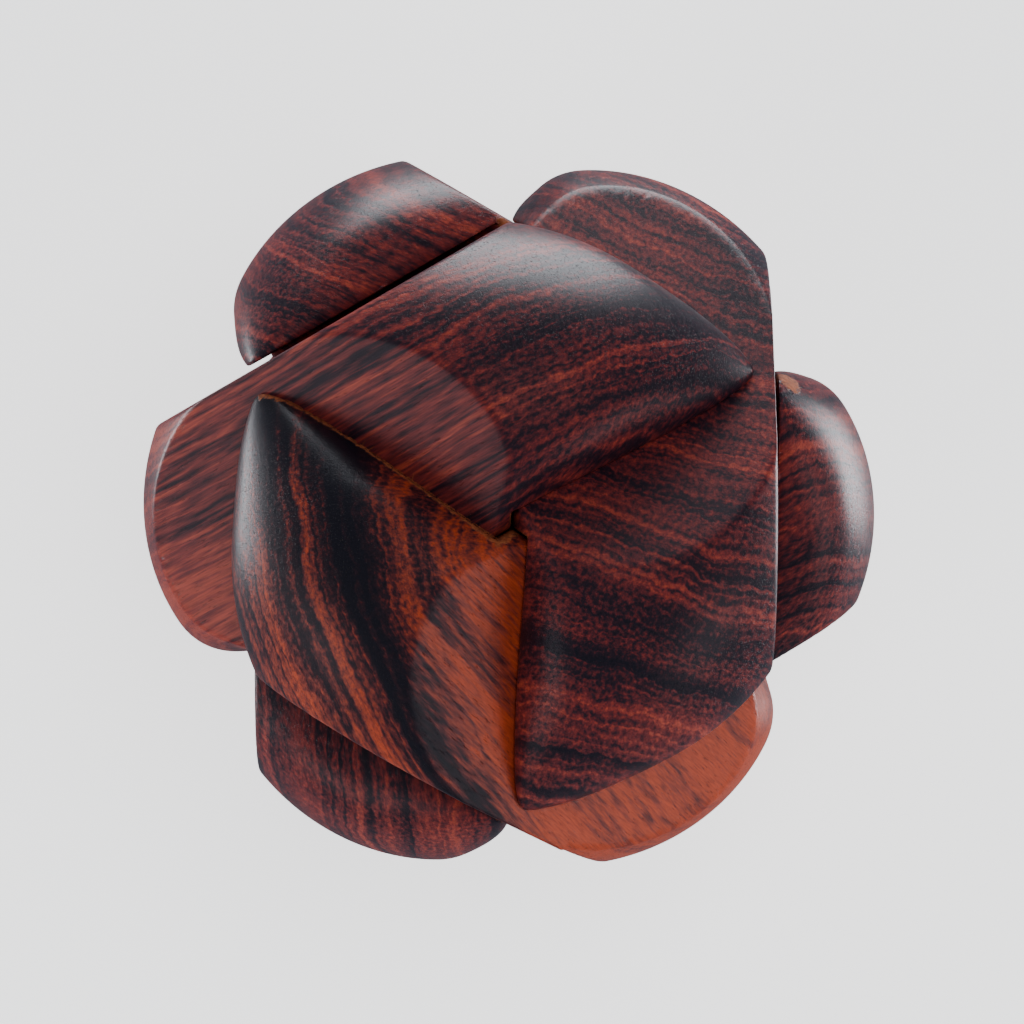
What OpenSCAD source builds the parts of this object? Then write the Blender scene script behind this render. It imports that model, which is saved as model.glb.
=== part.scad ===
// A six-piece diagonal burr puzzle with rounded ends. Six equal notched sticks of square
// section lock together as a star with twelve rounded lobes. The puzzle stands on three
// lobes, with +Z along the axis on which its upper three sticks lift off together, and the
// origin at its centre. Millimetres.

/* [Star] */
// Distance from the centre of the puzzle to the outer edge of every stick
reach = 37.5; // [36:0.5:39]
// Gap between two faces that meet
face_gap = 0.2; // [0.1:0.05:0.4]

/* [Rounded ends] */
// Half of the length over which a stick's outer edge stays sharp and straight
edge_half = 8.25; // [7.75:0.25:8.75]
// Height of the pointed inner tip of an end, measured along the stick from its middle
tip_height = 36.0; // [35.5:0.1:36.3]
// Radius of the arc that joins the outer edge to the tip
arc_radius = 33.75; // [33:0.25:34.5]
// Lean of the line through the tip that the arc is turned about
end_lean = 30.7; // [30:0.1:32]

/* [Hidden] */

// Section of a stick: a square standing on its corner, with its inner edge on the centre line.
half = reach / 2;
set_back = face_gap / 2 * sqrt(2);
section_half = half - set_back;
notch_depth = half + set_back;

// Centre of the end's arc, which passes through the outer edge's end and the tip.
chord_x = reach;
chord_z = edge_half - tip_height;
chord = sqrt(chord_x * chord_x + chord_z * chord_z);
sagitta_leg = sqrt(arc_radius * arc_radius - chord * chord / 4);
arc_x = chord_x / 2 + chord_z / chord * sagitta_leg;
arc_z = (edge_half + tip_height) / 2 - chord_x / chord * sagitta_leg;

// The arc's centre and the turning line, seen along the leaning line.
line_out = tip_height * sin(end_lean);
arc_out = arc_x * cos(end_lean) + arc_z * sin(end_lean);
arc_along = arc_z * cos(end_lean) - arc_x * sin(end_lean);

// Half of the square waist, which ends just before the rounding begins.
waist_half = edge_half - 0.75;

// The puzzle stands on its three-fold axis: this tilt takes a cube's diagonal upright.
corner_tilt = atan(sqrt(2));
third = 120;
round_fn = 96;

// The stick's square bar from its middle to past its end: inner edge at x = 0.
module half_bar() {
    linear_extrude(height = reach * 1.2)
        polygon([[half - section_half, 0], [half, section_half],
                 [half + section_half, 0], [half, -section_half]]);
}

// The rounded end: an arc turned about a line that leans towards the stick's outer edge.
module end_dome() {
    rotate([0, -end_lean, 0])
        translate([line_out, 0, 0])
            rotate_extrude($fn = round_fn)
                intersection() {
                    translate([arc_out - line_out, arc_along])
                        circle(r = arc_radius, $fn = round_fn);
                    translate([0, -2 * reach])
                        square([2 * reach, 4 * reach]);
                }
}

// Half a stick: a square waist that keeps its sharp side edges, then the rounded end.
module half_stick() {
    intersection() {
        half_bar();
        union() {
            end_dome();
            translate([-reach, -reach, -1])
                cube([3 * reach, 2 * reach, 1 + waist_half]);
        }
    }
}

// Two V-notches side by side, which open on the inner edge and end on the stick's centre line.
module notches() {
    wide = notch_depth + reach / 8;
    rotate([90, 0, 0])
        translate([0, 0, -reach])
            linear_extrude(height = 2 * reach)
                for (side = [-1, 1])
                    polygon([[notch_depth, side * half],
                             [notch_depth - wide, side * half - wide],
                             [notch_depth - wide, side * half + wide]]);
}

// One notched stick: its length along Z, its notches facing -X.
module stick() {
    difference() {
        union() {
            half_stick();
            mirror([0, 0, 1])
                half_stick();
        }
        notches();
    }
}

// A stick at its place in the star. Upper sticks are turned by thirds about the upright axis,
// and a lower stick is the upper one turned half round about its own length.
module placed_stick(turn, lower) {
    rotate([0, 0, turn])
        rotate([corner_tilt, 0, 0])
            rotate([0, 0, lower ? 225 : 45])
                stick();
}

module upper_front_stick() {
    color([0.45, 0.17, 0.09])
        placed_stick(-third, false);
}

module upper_right_stick() {
    color([0.33, 0.12, 0.10])
        placed_stick(0, false);
}

module upper_left_stick() {
    color([0.36, 0.13, 0.09])
        placed_stick(third, false);
}

module lower_back_stick() {
    color([0.30, 0.12, 0.11])
        placed_stick(-third, true);
}

module lower_left_stick() {
    color([0.25, 0.10, 0.09])
        placed_stick(0, true);
}

module lower_right_stick() {
    color([0.28, 0.11, 0.10])
        placed_stick(third, true);
}

upper_front_stick();
upper_right_stick();
upper_left_stick();
lower_back_stick();
lower_left_stick();
lower_right_stick();
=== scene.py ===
# %% [markdown]
# # A diagonal burr puzzle in rosewood
#
# Six equal square sticks cross in the middle and lock into a star with twelve rounded lobes.
# The sticks' shape is already settled in CAD, with exact flat faces and knife-sharp edges.
# Here each stick is made again as a piece of real wood: turned, sanded and oiled.

import math
import random

import bmesh
import bpy
import numpy as np
from mathutils import Matrix, Vector


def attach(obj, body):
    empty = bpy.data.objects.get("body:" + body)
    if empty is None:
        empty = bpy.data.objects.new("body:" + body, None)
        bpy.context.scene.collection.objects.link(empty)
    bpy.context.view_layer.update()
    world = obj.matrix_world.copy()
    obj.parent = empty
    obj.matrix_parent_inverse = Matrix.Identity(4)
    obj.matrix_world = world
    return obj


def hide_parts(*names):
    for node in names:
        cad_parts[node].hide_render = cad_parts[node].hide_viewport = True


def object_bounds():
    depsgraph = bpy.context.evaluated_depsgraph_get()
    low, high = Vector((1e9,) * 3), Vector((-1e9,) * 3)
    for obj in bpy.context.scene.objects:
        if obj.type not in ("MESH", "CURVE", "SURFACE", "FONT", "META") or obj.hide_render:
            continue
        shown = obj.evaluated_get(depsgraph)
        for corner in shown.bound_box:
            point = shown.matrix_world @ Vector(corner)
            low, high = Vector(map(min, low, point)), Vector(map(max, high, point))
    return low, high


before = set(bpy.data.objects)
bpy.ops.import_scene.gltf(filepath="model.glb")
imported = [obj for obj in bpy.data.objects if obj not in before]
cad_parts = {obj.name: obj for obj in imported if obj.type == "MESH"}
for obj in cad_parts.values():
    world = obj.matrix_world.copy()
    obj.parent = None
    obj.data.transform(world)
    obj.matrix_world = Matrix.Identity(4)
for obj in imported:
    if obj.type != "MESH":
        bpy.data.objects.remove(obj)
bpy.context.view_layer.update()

scene = bpy.context.scene
mm = 0.001
print("CAD nodes:", sorted(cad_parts))

# %% [markdown]
# The camera comes first, because it shows at once whether a piece sits where it should. It hangs
# almost straight above the puzzle, as the eye does when the star lies on a table, and a long lens
# keeps the lobes from swelling towards it. It could be aimed by hand, but here it is turned about
# the puzzle's centre by two small angles, so its distance and aim stay separate numbers.

# %% Camera
camera_distance = 530 * mm
lens_focal = 178.0
lean_back = math.radians(3.0)
lean_side = math.radians(-0.4)
aim = Vector((0.2, 0.1, 0)) * mm

camera_data = bpy.data.cameras.new("overhead_camera")
camera_data.lens = lens_focal
camera = bpy.data.objects.new("overhead_camera", camera_data)
scene.collection.objects.link(camera)
towards_camera = Vector((math.sin(lean_side), math.sin(lean_back), math.cos(lean_back))).normalized()
camera.location = aim + towards_camera * camera_distance
side_axis = Vector((0, 1, 0)).cross(towards_camera).normalized()
up_axis = towards_camera.cross(side_axis)
camera.rotation_euler = Matrix((side_axis, up_axis, towards_camera)).transposed().to_euler()
scene.camera = camera
print("camera at", [round(v, 3) for v in camera.location])

# %% [markdown]
# Every stick is the same piece of wood-turning, so it is described once, standing up at the
# origin: x points out from the puzzle's centre, z runs along the stick, and the stick's inner
# edge lies on the z axis. The numbers are the CAD's own driving dimensions.

# %% Dimensions of a stick
reach = 37.5 * mm  # centre of the puzzle to a stick's outer edge
face_gap = 0.2 * mm  # between two faces that meet
edge_half = 8.25 * mm  # half of the outer edge's straight length
tip_height = 36.0 * mm  # from a stick's middle to the tip of an end
arc_radius = 33.75 * mm  # the arc from the outer edge to the tip
end_lean = math.radians(30.7)  # lean of the line that the arc is turned about

half = reach / 2
set_back = face_gap / 2 * math.sqrt(2)
section_half = half - set_back
notch_depth = half + set_back
chord = Vector((reach, edge_half - tip_height))
sagitta_leg = math.sqrt(arc_radius**2 - chord.length_squared / 4)
arc_centre = Vector((chord.x / 2, (edge_half + tip_height) / 2))
arc_centre += Vector((chord.y, -chord.x)) / chord.length * sagitta_leg
line_out = tip_height * math.sin(end_lean)
arc_out = arc_centre.x * math.cos(end_lean) + arc_centre.y * math.sin(end_lean) - line_out
arc_along = arc_centre.y * math.cos(end_lean) - arc_centre.x * math.sin(end_lean)
waist_half = edge_half - 0.75 * mm
print("stick", round(section_half * math.sqrt(2) / mm, 2), "mm square, arc centre", arc_out, arc_along)

# %% [markdown]
# A rounded end is like a lemon cut by the four sides of a square bar. On a lathe the lemon is an
# arc turned about its own chord, and Blender's spin does the same with a row of vertices. Each
# saw cut along the bar is then a bisect_plane that throws away what is outside, and the open
# wound is closed with holes_fill.

# %% Turning and sawing one end
lemon_steps = 96  # edges along the arc
lemon_rings = 128  # copies of the arc round the line
weld = 0.01 * mm  # vertices nearer than this become one
fine_weld = 0.002 * mm
on_the_plane = 1e-8  # a vertex nearer to a saw cut than this, in metres, lies on it


def lemon():
    """A bmesh of the turned end, standing on its own line at the origin."""
    bm = bmesh.new()
    half_angle = math.acos(-arc_out / arc_radius)
    row = []
    for i in range(lemon_steps + 1):
        t = half_angle * (1 - 2 * i / lemon_steps)
        at = Vector((arc_out + arc_radius * math.cos(t), 0, arc_along + arc_radius * math.sin(t)))
        row.append(bm.verts.new(at))
    edges = [bm.edges.new(pair) for pair in zip(row, row[1:])]
    bmesh.ops.spin(bm, geom=row + edges, cent=(0, 0, 0), axis=(0, 0, 1), angle=2 * math.pi,
                   steps=lemon_rings, use_merge=True)
    bmesh.ops.remove_doubles(bm, verts=bm.verts, dist=weld)
    bmesh.ops.recalc_face_normals(bm, faces=bm.faces)
    return bm


def saw(bm, point, normal, close=True):
    """Cuts away what lies on the normal's side of a plane, and closes the cut."""
    parts = bm.verts[:] + bm.edges[:] + bm.faces[:]
    cut = bmesh.ops.bisect_plane(bm, geom=parts, dist=on_the_plane, plane_co=point,
                                 plane_no=normal, clear_outer=True)
    rim = [e for e in cut["geom_cut"] if isinstance(e, bmesh.types.BMEdge)]
    if close:
        bmesh.ops.holes_fill(bm, edges=rim)


end = lemon()
lean = Matrix.Rotation(-end_lean, 4, "Y") @ Matrix.Translation((line_out, 0, 0))
bmesh.ops.transform(end, matrix=lean, verts=end.verts)
for out, side in ((1, 1), (1, -1), (-1, 1), (-1, -1)):
    saw(end, Vector((half + out * section_half, 0, 0)), Vector((out, side, 0)))
saw(end, Vector((0, 0, 0)), Vector((0, 0, -1)), close=False)
print("rounded end:", len(end.verts), "vertices")

# %% [markdown]
# The other end is a mirror copy, joined at the waist. Then come the two V-notches. In the
# workshop a stick is laid on its corner and sawn twice at 45 degrees for each notch. Here the
# cutter is a square bar standing on its edge, which is exactly the wood that a notch removes,
# and a Boolean modifier takes it out. A modifier is the safer tool for this, because a V-notch
# leaves an inward corner that a plain plane cut can't make.

# %% Both ends and the notches
bmesh.ops.mirror(end, geom=end.verts[:] + end.edges[:] + end.faces[:], axis="Z", merge_dist=weld)
bmesh.ops.remove_doubles(end, verts=end.verts, dist=fine_weld)
bmesh.ops.recalc_face_normals(end, faces=end.faces)


def as_object(bm, name):
    """A scene object made from a bmesh."""
    mesh = bpy.data.meshes.new(name)
    bm.to_mesh(mesh)
    bm.free()
    obj = bpy.data.objects.new(name, mesh)
    scene.collection.objects.link(obj)
    return obj


def finished_mesh(obj, name):
    """The mesh that an object's modifiers make. The object itself is removed."""
    depsgraph = bpy.context.evaluated_depsgraph_get()
    mesh = bpy.data.meshes.new_from_object(obj.evaluated_get(depsgraph))
    mesh.name = name
    bpy.data.objects.remove(obj)
    return mesh


blank = as_object(end, "blank")
cutter_side = 2 * half
cutters = bmesh.new()
for side in (-1, 1):
    made = bmesh.ops.create_cube(cutters, size=1)
    place = Matrix.Translation((notch_depth - cutter_side / math.sqrt(2), 0, side * half))
    place = place @ Matrix.Rotation(math.radians(45), 4, "Y")
    place = place @ Matrix.Diagonal((cutter_side, 3 * reach, cutter_side, 1))
    bmesh.ops.transform(cutters, matrix=place, verts=made["verts"])
cutter = as_object(cutters, "notch_cutter")
notch = blank.modifiers.new("notches", "BOOLEAN")
notch.operation = "DIFFERENCE"
notch.solver = "EXACT"
notch.use_self = True
notch.object = cutter
notched = finished_mesh(blank, "notched")
bpy.data.objects.remove(cutter)
print("notched stick:", len(notched.vertices), "vertices")

# %% [markdown]
# So far the stick is all flats and knife edges, and its faces are long slivers, which nothing
# can bend softly. A voxel remesh covers it with a fine even skin, as if it were dipped in small
# cubes, and Decimate thins the skin out again. Subdividing would be another way, but it keeps
# the slivers and only makes them smaller.

# %% The skin of a stick
skin_step = 0.21 * mm
skin_kept = 0.38  # the share of the skin's triangles that Decimate keeps
skin = bpy.data.objects.new("skin", notched)
scene.collection.objects.link(skin)
remesh = skin.modifiers.new("even_skin", "REMESH")
remesh.mode = "VOXEL"
remesh.voxel_size = skin_step
thin = skin.modifiers.new("thin_out", "DECIMATE")
thin.ratio = skin_kept
skin_mesh = finished_mesh(skin, "skin")
skin_points = np.zeros(len(skin_mesh.vertices) * 3)
skin_mesh.vertices.foreach_get("co", skin_points)
skin_points = skin_points.reshape(-1, 3)
skin_mesh.calc_loop_triangles()
print("skin:", len(skin_points), "points,", len(skin_mesh.loop_triangles), "triangles")

# %% [markdown]
# The real stick has been held against a sander: the dome runs softly into the stick's inner
# faces, while the saw cuts stay crisp. A Bevel can't do this, because the dome's edges cross
# hundreds of small faces. Instead the shape is written as one formula, the distance to each cut.
# The largest of these distances says how far a point stands proud, and where two are nearly
# equal they are blended, which rounds the edge between them.

# %% The stick as one smooth formula
crisp = 0.35 * mm  # rounding of the edges that the saw and the sander left sharp
softest = 7.5 * mm  # rounding between an inner face and the dome, on the lobe's back
sharpest = 1.2 * mm  # the same edge at the tip and at the waist, where the sander can't lean
back_out = 14 * mm  # how far out from the inner edge the rounding is at its softest
waist_end = 13 * mm  # where along the stick the rounding starts to grow softer
grows_over = 10 * mm  # the length over which it does, and over which a notch goes deeper


def rounded_max(one, other, radius):
    """The larger of two distances, blended over a radius where they are nearly equal."""
    near = np.maximum(radius - np.abs(one - other), 0) / radius
    return np.maximum(one, other) + near**2 * radius / 4


def eased(value):
    """0 below 0, 1 above 1, and a smooth slope between them."""
    value = np.clip(value, 0, 1)
    return value**2 * (3 - 2 * value)


def stands_proud(points, extra=(0, 0), set_in=0.0):
    """How far each point stands outside the finished stick, in metres. extra makes the domes of
    the two ends larger, and set_in cuts the notch deeper. Both are in mm."""
    out, side, along = points[:, 0], np.abs(points[:, 1]), np.abs(points[:, 2])
    outer_faces = (out + side - half - section_half) / math.sqrt(2)
    inner_faces = (side - out + half - section_half) / math.sqrt(2)
    across = out * math.cos(end_lean) + along * math.sin(end_lean) - line_out
    upward = along * math.cos(end_lean) - out * math.sin(end_lean)
    from_line = np.hypot(across, points[:, 1])
    dome = np.hypot(from_line - arc_out, upward - arc_along) - arc_radius
    dome -= np.where(points[:, 2] > 0, *extra) * mm
    dome = np.minimum(dome, along - waist_half)
    deeper = notch_depth + set_in * mm * eased(points[:, 2] / grows_over)
    notch = (deeper - out - np.abs(along - half)) / math.sqrt(2)
    leant_on = eased(out / back_out) * eased((along - waist_end) / grows_over)
    body = rounded_max(inner_faces, dome, sharpest + (softest - sharpest) * leant_on)
    body = rounded_max(body, outer_faces, crisp)
    return rounded_max(body, notch, crisp)


print("rounding grows from", sharpest / mm, "to", softest / mm, "mm")

# %% [markdown]
# Every point of the skin is pressed on to the formula, the way a sculptor's tool would do it: it
# slides down the formula's slope until nothing stands proud. A Shrinkwrap modifier on to a
# second mesh could do this too, but it would need that mesh first. No two ends were sanded
# quite alike, so each stick has its own small numbers.

# %% Pressing the skin on to the formula
flattest_slope = 0.25  # keeps a step short where two cuts nearly cancel each other's slope


def press_on(points, proud, rounds=6, probe=0.01 * mm):
    """Moves points along the formula's slope until they lie on its surface."""
    points = points.copy()
    for _ in range(rounds):
        here = proud(points)
        slope = np.stack([(proud(points + step) - proud(points - step)) / (2 * probe)
                          for step in np.eye(3) * probe], axis=1)
        steep = np.maximum((slope**2).sum(axis=1), flattest_slope)
        points -= slope * (here / steep)[:, None]
    return points


# Larger (+) or smaller (-) domes at the +z and the -z end, and deeper notches, all in mm.
hand_work = {
    "upper_front_stick": ((-0.3, -0.7), 0.0),
    "upper_right_stick": ((0.0, -0.3), 0.0),
    "upper_left_stick": ((0.0, -0.3), 0.0),
    "lower_back_stick": ((0.3, 0.0), 0.4),
    "lower_left_stick": ((-0.2, 0.0), 0.0),
    "lower_right_stick": ((-0.4, 0.0), 0.4),
}
pressed = {}
for node, (extra, set_in) in hand_work.items():
    pressed[node] = press_on(skin_points, lambda points: stands_proud(points, extra, set_in))
    left_over = np.abs(stands_proud(pressed[node], extra, set_in)).max()
    print(node, "is pressed on, left over", round(left_over / mm, 4), "mm")

# %% [markdown]
# The six sticks lie along three crossing lines. Each has a partner on the other side of the
# puzzle's centre, which is the same stick given half a turn about its own length. The whole
# star is tipped so that a cube's diagonal stands upright, and turns by thirds give the rest.
# A finished piece keeps its object at the origin and its place in its mesh, so that a pattern
# that follows the object's coordinates stays with it.

# %% Places of the sticks
corner_tilt = math.atan(math.sqrt(2))


def placing(turn, lower):
    """The rotation that takes a standing stick to its place in the star."""
    about = Matrix.Rotation(math.radians(225 if lower else 45), 3, "Z")
    tip = Matrix.Rotation(corner_tilt, 3, "X")
    return Matrix.Rotation(math.radians(turn), 3, "Z") @ tip @ about


places = {
    "upper_front_stick": placing(-120, False),
    "upper_right_stick": placing(0, False),
    "upper_left_stick": placing(120, False),
    "lower_back_stick": placing(-120, True),
    "lower_left_stick": placing(0, True),
    "lower_right_stick": placing(120, True),
}
print("places:", list(places))

# %% [markdown]
# The wood is a solid pattern that is carved through, not a picture wrapped round the stick, so a
# band that leaves one face comes back on the next. Shader nodes could be wired one by one; here
# one small class does the wiring, so that the recipe below reads like arithmetic.

# %% Shorthand for shader nodes


class Signal:
    """One output of a shader node. A sum, difference or product of signals adds a Math node."""

    def __init__(self, paint, socket):
        self.paint = paint
        self.socket = socket

    def with_math(self, operation, one, other):
        return self.paint.node("Math", {"operation": operation}, {0: one, 1: other})

    def __add__(self, other):
        return self.with_math("ADD", self, other)

    def __sub__(self, other):
        return self.with_math("SUBTRACT", self, other)

    def __rsub__(self, other):
        return self.with_math("SUBTRACT", other, self)

    def __mul__(self, other):
        return self.with_math("MULTIPLY", self, other)

    __radd__ = __add__
    __rmul__ = __mul__


class Paint:
    """A new material, and the one method that adds any node to it."""

    def __init__(self, name):
        self.material = bpy.data.materials.new(name)
        self.material.use_nodes = True
        self.tree = self.material.node_tree
        self.shader = self.tree.nodes["Principled BSDF"]

    def node(self, kind, settings, sockets, out=0):
        """Adds a node: its settings first, then the values or links of its sockets."""
        made = self.tree.nodes.new("ShaderNode" + kind)
        for key, value in settings.items():
            if key == "stops":
                ramp = made.color_ramp
                while len(ramp.elements) < len(value):
                    ramp.elements.new(0.5)
                for element, (at, colour) in zip(ramp.elements, value):
                    element.position = at
                    element.color = (*colour, 1)
            else:
                setattr(made, key, value)
        self.feed(made, sockets)
        return Signal(self, made.outputs[out])

    def feed(self, made, sockets):
        """Gives each socket its value, or links it to a signal."""
        for key, value in sockets.items():
            if isinstance(value, Signal):
                self.tree.links.new(value.socket, made.inputs[key])
            else:
                made.inputs[key].default_value = value


def rise(paint, signal, low, high):
    """0 below low, 1 above high, and a smooth slope between them."""
    settings = {"interpolation_type": "SMOOTHSTEP"}
    return paint.node("MapRange", settings, {"Value": signal, "From Min": low, "From Max": high})


def stretched(paint, vector, across, along, detail=3.0, out="Fac", shift=0.0):
    """Noise drawn out along the fibres. The scales are features per millimetre."""
    sockets = {"Vector": vector, "Scale": (across, across, along), "Location": (shift, shift, shift)}
    drawn = paint.node("Mapping", {}, sockets)
    return paint.node("TexNoise", {}, {"Vector": drawn, "Scale": 1.0, "Detail": detail}, out)


def warped(paint, vector, across, along, amount, shift=0.0):
    """The place, pushed about by a noise by up to so many millimetres."""
    push = stretched(paint, vector, across, along, 2.0, "Color", shift)
    centred = paint.node("VectorMath", {"operation": "SUBTRACT"}, {0: push, 1: (0.5, 0.5, 0.5)})
    scaled = paint.node("VectorMath", {"operation": "SCALE"}, {0: centred, "Scale": 2 * amount})
    return paint.node("VectorMath", {"operation": "ADD"}, {0: vector, 1: scaled})


# %% [markdown]
# A tree lays down its colour in rings round the pith. A stick is a small square out of such a
# trunk, so its bands are nearly flat sheets, a little curved, and they lie at whatever angle
# the board was sawn. Distance from the pith gives the rings. Three noises push them about: a
# slow one for the tree's growth, a medium one for the figure, and a fine one drawn out along the
# fibres for the splintery edge of each band. A Wave texture could make rings as well, but
# its bands are all equally wide, which no tree does.

# %% The rings of a tree


def in_the_trunk(paint, where, fibre, rings, pith_distance):
    """The place in mm, with z along the fibres and x towards the pith, which is at the origin."""
    along = Vector(fibre).normalized()
    inwards = Vector(rings)
    inwards = (inwards - inwards.dot(along) * along).normalized()
    trunk = Matrix((inwards, along.cross(inwards), along))
    sockets = {"Vector": where, "Rotation": trunk.to_euler("XYZ"), "Scale": (1 / mm, 1 / mm, 1 / mm),
               "Location": (-pith_distance, 0, 0)}
    return paint.node("Mapping", {}, sockets)


def from_pith(paint, wood_mm, seed):
    """The distance from the pith in mm, once the three noises have pushed the place about."""
    grown = warped(paint, wood_mm, 0.035, 0.016, 3.2, seed)
    figured = warped(paint, grown, 0.17, 0.05, 0.9, seed + 7)
    ragged = warped(paint, figured, 1.1, 0.10, 0.55, seed + 13)
    flattened = paint.node("VectorMath", {"operation": "MULTIPLY"}, {0: ragged, 1: (1, 1, 0)})
    return paint.node("VectorMath", {"operation": "LENGTH"}, {0: flattened}, "Value")


# %% [markdown]
# The rings' colour runs from purple black through crimson to orange red. Along the way out from
# the pith, three one-dimensional noises say which: wide seasons, the bands that the eye sees, and
# narrow lines inside them. Flecks break the bands up along the fibres, and slow patches let
# the colour drift from one end of a stick to the other, as it does in a real board.

# %% The colour of the rings
band_stops = [
    (0.00, (0.0050, 0.0042, 0.0085)),
    (0.30, (0.0150, 0.0062, 0.0110)),
    (0.52, (0.0680, 0.0108, 0.0140)),
    (0.76, (0.1400, 0.0180, 0.0170)),
    (1.00, (0.2700, 0.0380, 0.0220)),
]
amber_stops = [
    (0.00, (0.0055, 0.0042, 0.0080)),
    (0.30, (0.0180, 0.0065, 0.0100)),
    (0.52, (0.0700, 0.0120, 0.0130)),
    (0.76, (0.1800, 0.0260, 0.0150)),
    (1.00, (0.3200, 0.0390, 0.0105)),
]
darkest_level = 1.50  # the sum of the noises that gives the darkest colour
palest_level = 3.05
painted_light_most = 0.38  # the most that the painted light on a stick's window side may add


def ring_level(paint, ring, wood_mm, flecks, seed):
    """The sum of the noises that settle how pale the wood is at a place."""
    line = {"noise_dimensions": "1D"}
    wide = paint.node("TexNoise", line, {"W": ring + seed, "Scale": 0.22, "Detail": 1.0})
    bands = paint.node("TexNoise", line, {"W": ring + (seed + 90), "Scale": 1.05, "Detail": 2.5})
    narrow = paint.node("TexNoise", line, {"W": ring + (seed + 50), "Scale": 3.2, "Detail": 1.0})
    patches = stretched(paint, wood_mm, 0.07, 0.035, 2.0, shift=seed + 3)
    return wide * 0.8 + bands * 1.25 + narrow * 0.4 + flecks * 1.3 + patches * 0.9


def one_black_ring(paint, level, ring, black_ring):
    """The level with one broad black ring sunk into it."""
    level = level - rise(paint, ring, black_ring - 4.0, black_ring - 0.6) * 0.65
    return level + rise(paint, ring, black_ring + 0.6, black_ring + 2.4) * 0.75


print("colours:", len(band_stops), "stops for five sticks,", len(amber_stops), "for the amber one")

# %% [markdown]
# Over the rings lie the marks that make it wood and not paint: fine fibres, dark pores, the
# scratches of the sander across the fibres, and the bare orange wood that the saw
# left in the notches. The same signals feed the colour, the roughness and a shallow bump, so
# that a pore is dark, dull and sunk at the same place. An image texture would be quicker to
# render, but it would show a seam at each edge of the stick.

# %% Rosewood
raw_stops = [(0.3, (0.12, 0.030, 0.013)), (0.7, (0.32, 0.088, 0.030))]
pore_fill = (0.012, 0.006, 0.006, 1)
bump_depth = 0.05 * mm
oil_shine = 0.36


def rosewood(name, fibre, rings, pith_distance, tone, seed, stops=band_stops, painted_light_way=(0, 0, 0),
             black_ring=None):
    """Oiled rosewood. fibre is the way the fibres run and rings the way to the pith, both in the
    puzzle's frame. pith_distance is in mm. tone lifts or sinks the colour everywhere.
    painted_light_way is painted light: the colour grows paler in its direction, towards the side
    that faces a window lamp, by its length per metre. black_ring is the distance from the pith, in
    mm, of one broad black ring."""
    paint = Paint(name)
    where = paint.node("TexCoord", {}, {}, "Object")
    wood_mm = in_the_trunk(paint, where, fibre, rings, pith_distance)
    ring = from_pith(paint, wood_mm, seed)
    flecks = stretched(paint, wood_mm, 2.3, 0.22, 3.0, shift=seed)
    # Painted light: the colour is made paler on the side of the stick that faces a window lamp.
    painted_light = paint.node("VectorMath", {"operation": "DOT_PRODUCT"}, {0: where, 1: painted_light_way}, "Value")
    painted_light = paint.node("Math", {"operation": "MINIMUM"}, {0: painted_light, 1: painted_light_most})
    level = ring_level(paint, ring, wood_mm, flecks, seed) + painted_light
    if black_ring is not None:
        level = one_black_ring(paint, level, ring, black_ring)
    level = rise(paint, level, darkest_level - tone, palest_level - tone)
    colour = paint.node("ValToRGB", {"stops": stops}, {"Fac": level}, "Color")

    pores = rise(paint, stretched(paint, wood_mm, 7.0, 0.7, 2.0, shift=seed + 20), 0.62, 0.70)
    fibres = stretched(paint, wood_mm, 6.0, 0.35, 3.0, shift=seed + 30)
    fibre_tint = fibres * 1.4 + 0.3
    mix = {"data_type": "RGBA", "blend_type": "MULTIPLY"}
    fibre_grey = paint.node("CombineColor", {}, {0: fibre_tint, 1: fibre_tint, 2: fibre_tint})
    colour = paint.node("Mix", mix, {"Factor": 1.0, "A": colour, "B": fibre_grey}, "Result")
    plain = {"data_type": "RGBA"}
    colour = paint.node("Mix", plain, {"Factor": pores * 0.5, "A": colour, "B": pore_fill}, "Result")

    saw_lines = stretched(paint, wood_mm, 2.6, 1.1, 4.0, shift=seed + 40)
    sawn = paint.node("Attribute", {"attribute_name": "raw"}, {}, "Fac")
    raw = rise(paint, sawn + saw_lines, 0.85, 1.15)
    raw_wood = paint.node("ValToRGB", {"stops": raw_stops}, {"Fac": saw_lines}, "Color")
    colour = paint.node("Mix", plain, {"Factor": raw * 0.85, "A": colour, "B": raw_wood}, "Result")

    scratches = paint.node("Mapping", {}, {"Vector": wood_mm, "Scale": (0.5, 9.0, 9.0)})
    scratches = paint.node("TexNoise", {}, {"Vector": scratches, "Scale": 1.0, "Detail": 2.0})
    relief = fibres * 0.35 - pores * 0.8 + scratches * 0.5 + flecks * 0.2 + raw * saw_lines * 3
    bump = paint.node("Bump", {}, {"Height": relief, "Strength": 0.6, "Distance": bump_depth})
    roughness = 0.20 + scratches * 0.20 + pores * 0.2 + flecks * 0.1 + raw * 0.45
    paint.feed(paint.shader, {"Base Color": colour, "Roughness": roughness, "Normal": bump,
                              "Specular IOR Level": oil_shine})
    return paint.material


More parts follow.
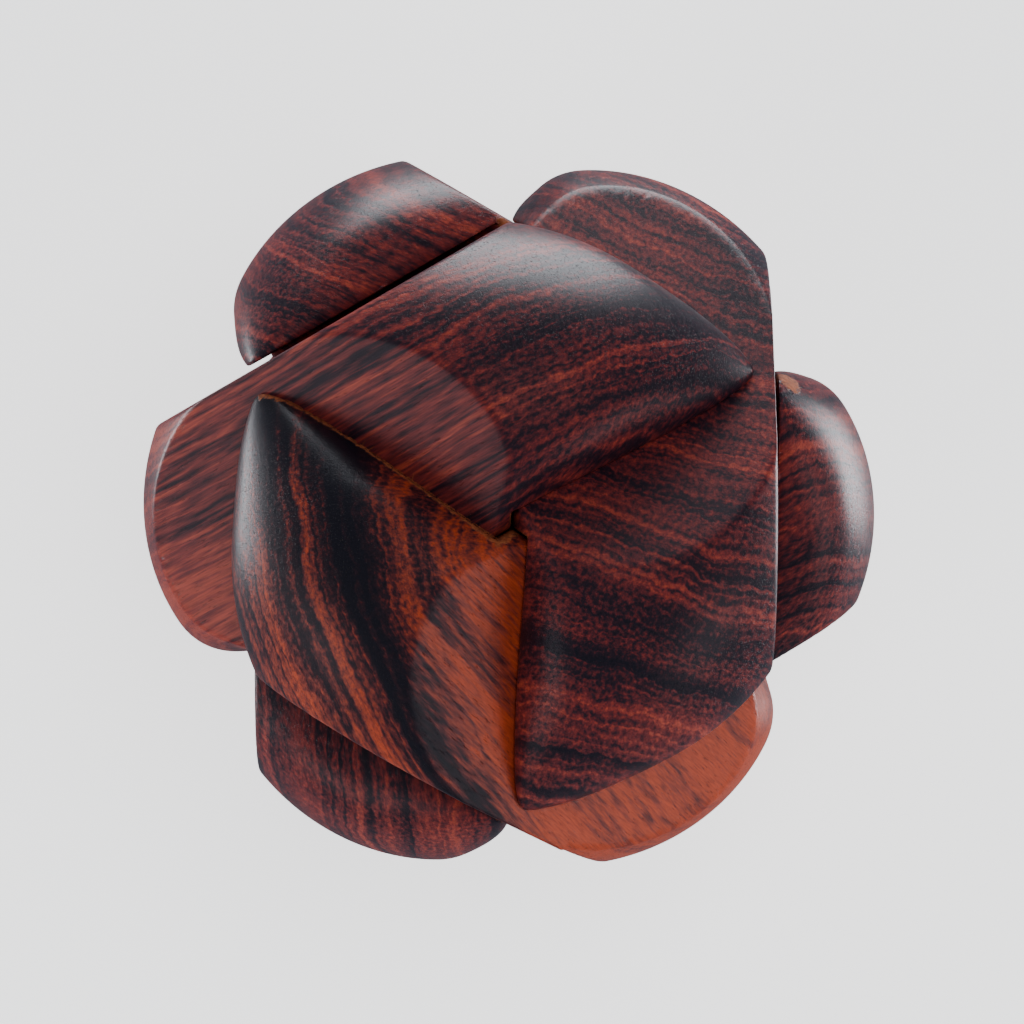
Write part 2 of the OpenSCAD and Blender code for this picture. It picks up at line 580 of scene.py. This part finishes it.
# Name, fibre, rings, pith distance, tone, seed, and for two sticks colour stops and painted light
# on the side that faces a window lamp; the first also has one broad black ring.
recipes = {
    "upper_front_stick": ("amber_rosewood", (-0.51, 0.56, 0.65), (0.86, 0.38, 0.34), -150, 0.05, 11.0,
                          amber_stops, (13, -14, 0), 148.8),
    "upper_right_stick": ("banded_rosewood", (0.0, 0.15, 0.99), (0.45, 0.89, 0.0), 84, -0.07, 23.0),
    "upper_left_stick": ("streaky_rosewood", (0.71, 0.41, 0.58), (0.13, -0.88, 0.46), 60, 0.0, 37.0,
                         band_stops, (-10, -4, 0)),
    "lower_back_stick": ("red_streak_rosewood", (-0.71, 0.41, 0.58), (0.42, 0.9, -0.12), 70, 0.0, 41.0),
    "lower_left_stick": ("dark_rosewood", (0.0, -0.82, 0.58), (1, 0, 0), 65, -0.05, 53.0),
    "lower_right_stick": ("level_rosewood", (0.71, 0.41, 0.58), (-0.25, 0.89, -0.33), 60, 0.0, 67.0),
}
woods = {node: rosewood(*recipe) for node, recipe in recipes.items()}
print("woods:", [wood.name for wood in woods.values()])

# %% [markdown]
# Oil and sandpaper never reach the walls of a notch, so there the wood stays raw. Each point of
# the skin therefore gets a number, 1 on a notch wall and 0 a hair's breadth away from it, and
# the wood's pattern reads it as an attribute. Two tips that broke, and the one edge where the
# fibres tore, are raw as well. A second material on the notch faces would be simpler, but its
# border would run in steps from triangle to triangle.

# %% Where the wood is raw
raw_edge = 0.25 * mm  # how far raw wood shows beside a notch wall
torn_edge = 1.3 * mm  # the same where the fibres tore
torn_node = "upper_front_stick"
# The middle and the size of each broken tip, in mm, on a standing stick.
broken = {
    "lower_right_stick": [((4.2, 1.8, 35.4), 1.4)],
    "lower_back_stick": [((18.9, -17.6, 18.6), 0.8)],
}


def rawness(node, points):
    """1 where a stick's wood is raw, 0 where it is oiled."""
    from_notch = (np.abs(np.abs(points[:, 2]) - half) + points[:, 0] - notch_depth) / math.sqrt(2)
    torn = (points[:, 1] > 0) & (points[:, 2] > 0) & (node == torn_node)
    raw = 1 - from_notch / np.where(torn, torn_edge, raw_edge)
    for centre, size in broken.get(node, []):
        from_spot = np.linalg.norm(points - np.array(centre) * mm, axis=1)
        raw = np.maximum(raw, 1.6 - from_spot / (size * mm))
    return np.clip(raw, 0, 1)


print("raw share:", round(float(rawness(torn_node, pressed[torn_node]).mean()), 2))

# %% [markdown]
# Now the six sticks can be laid in their places. On the real puzzle the last one is eased in
# between the others. Here each skin is simply turned into its place, and each finished
# stick rides on its own body, so that the puzzle comes apart as the real one does.

# %% The six sticks
for node, place in places.items():
    mesh = skin_mesh.copy()
    mesh.name = node + "_wood"
    mesh.vertices.foreach_set("co", (pressed[node] @ np.array(place).T).ravel())
    mesh.update()
    mesh.shade_smooth()
    raw_data = mesh.attributes.new("raw", "FLOAT", "POINT").data
    raw_data.foreach_set("value", rawness(node, pressed[node]))
    mesh.materials.clear()
    mesh.materials.append(woods[node])
    stick = bpy.data.objects.new(node + "_wood", mesh)
    scene.collection.objects.link(stick)
    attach(stick, node.replace("_stick", ""))
    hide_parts(node)
    print(stick.name, "with", len(mesh.vertices), "vertices")

# %% [markdown]
# Where the saw came out of the first stick, the fibres tore instead of being cut, and a fringe of
# raw splinters stands along the edge. On such a small fringe hair particles would be one way, but
# they don't survive an export, so each splinter is a three-sided cone from bmesh. Their feet are
# points of the edge itself, pressed on to the same formula as the skin, and a seeded random
# generator gives each its length and lean.

# %% Torn fibres along one edge
dice = random.Random(5)
fibre_count = 240
torn_place = places[torn_node]
beside = torn_place.transposed() @ Vector((-0.50, -0.29, 0.82))  # off the stick beside the edge
seam = Vector((1, 1, -1)).normalized()  # along the edge
away = Vector((-2, 1, -1)).normalized()  # away from the torn stick
outs = np.array([dice.uniform(3.2, 18.2) for _ in range(fibre_count)]) * mm
feet = press_on(np.stack([outs, outs, notch_depth + half - outs], axis=1), stands_proud)
fringe = bmesh.new()
for foot in feet:
    tilt = beside * dice.uniform(0.2, 1.0) + seam * dice.uniform(-1.2, 1.2) + away * dice.uniform(0, 0.4)
    tilt.normalize()
    length = dice.uniform(0.25, 0.9) * mm
    thick = dice.uniform(0.025, 0.06) * mm
    at = Matrix.Translation(Vector(foot) + tilt * length * 0.4)
    turn = tilt.to_track_quat("Z", "Y").to_matrix().to_4x4()
    bmesh.ops.create_cone(fringe, segments=3, radius1=thick, radius2=thick * 0.2, depth=length,
                          matrix=torn_place.to_4x4() @ at @ turn, cap_ends=True)
splinters = as_object(fringe, "torn_fibres")
all_raw = np.ones(len(splinters.data.vertices))
splinters.data.attributes.new("raw", "FLOAT", "POINT").data.foreach_set("value", all_raw)
splinters.data.materials.append(woods[torn_node])
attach(splinters, "upper_front")
print("torn fibres:", len(feet))

# %% [markdown]
# The star lies on a plain pale floor, which glows a little so that it stays white without a hard
# lamp over it. Oiled wood shows every lamp as a pale patch, and a white floor would veil the
# whole lower half. A polarising filter takes such a veil away from a real lens. Here the floor is
# simply left out of reflections, and it doesn't shade the lamps that stand below its level.

# %% Floor
floor_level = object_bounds()[0].z
floor_half = 3.0
floor_mesh = bmesh.new()
bmesh.ops.create_grid(floor_mesh, x_segments=1, y_segments=1, size=floor_half)
bmesh.ops.translate(floor_mesh, verts=floor_mesh.verts, vec=(0, 0, floor_level))
floor = as_object(floor_mesh, "floor")
floor.visible_glossy = False
floor.visible_shadow = False
floor_paint = Paint("floor_paint")
floor_paint.feed(floor_paint.shader, {
    "Base Color": (0.85, 0.85, 0.85, 1),
    "Roughness": 0.7,
    "Specular IOR Level": 0.1,
    "Emission Color": (1, 1, 1, 1),
    "Emission Strength": 1.5,
})
floor.data.materials.append(floor_paint.material)
print("floor at", round(floor_level / mm, 2), "mm")

# %% [markdown]
# Two kinds of lamp keep colour and shine apart. A lamp over the star and two windows give the
# wood its colour, and they are left out of reflections. Three small cool lamps below the rim give
# the shine: a lamp that low is mirrored only near the edge of a dome, which makes it look
# round. Two faint glows are mirrored by the flat facets only, and part them from the domes. One
# strong lamp overhead would do for a matt thing, but on oiled wood it bleaches the middle of
# every dome.

# %% Lamps
world = bpy.data.worlds.new("studio")
world.use_nodes = True
background = world.node_tree.nodes["Background"]
background.inputs["Color"].default_value = (0.72, 0.84, 1.0, 1)
background.inputs["Strength"].default_value = 0.22
scene.world = world


def softbox(name, azimuth, elevation, distance, size, power):
    """A square softbox that faces the puzzle. Azimuth 0 is the lower edge of the view, -Y."""
    light = bpy.data.lights.new(name, "AREA")
    light.shape = "SQUARE"
    light.size = size
    light.energy = power
    lamp = bpy.data.objects.new(name, light)
    scene.collection.objects.link(lamp)
    a, e = math.radians(azimuth), math.radians(elevation)
    towards = Vector((math.sin(a) * math.cos(e), -math.cos(a) * math.cos(e), math.sin(e)))
    lamp.location = towards * distance
    lamp.rotation_euler = towards.to_track_quat("Z", "Y").to_euler()
    return lamp


overhead = softbox("overhead_light", 140, 72, 1.3, 0.8, 9.0)
left_window = softbox("left_window", 302, 17, 1.0, 0.5, 5.0)
right_window = softbox("right_window", 55, 17, 1.0, 0.5, 4.5)
for lamp in (overhead, left_window, right_window):
    lamp.visible_glossy = False
shine = [
    softbox("back_light", 174, -15, 0.5, 0.38, 4.2),
    softbox("left_light", 264, -22, 0.5, 0.22, 1.6),
    softbox("right_light", 95, -31, 0.5, 0.22, 1.9),
    softbox("left_glow", 300, 19, 1.0, 0.45, 0.6),
    softbox("right_glow", 57, 18, 1.0, 0.45, 0.6),
]
cool_white = (0.92, 0.95, 1.0)
for lamp in shine:
    lamp.data.color = cool_white
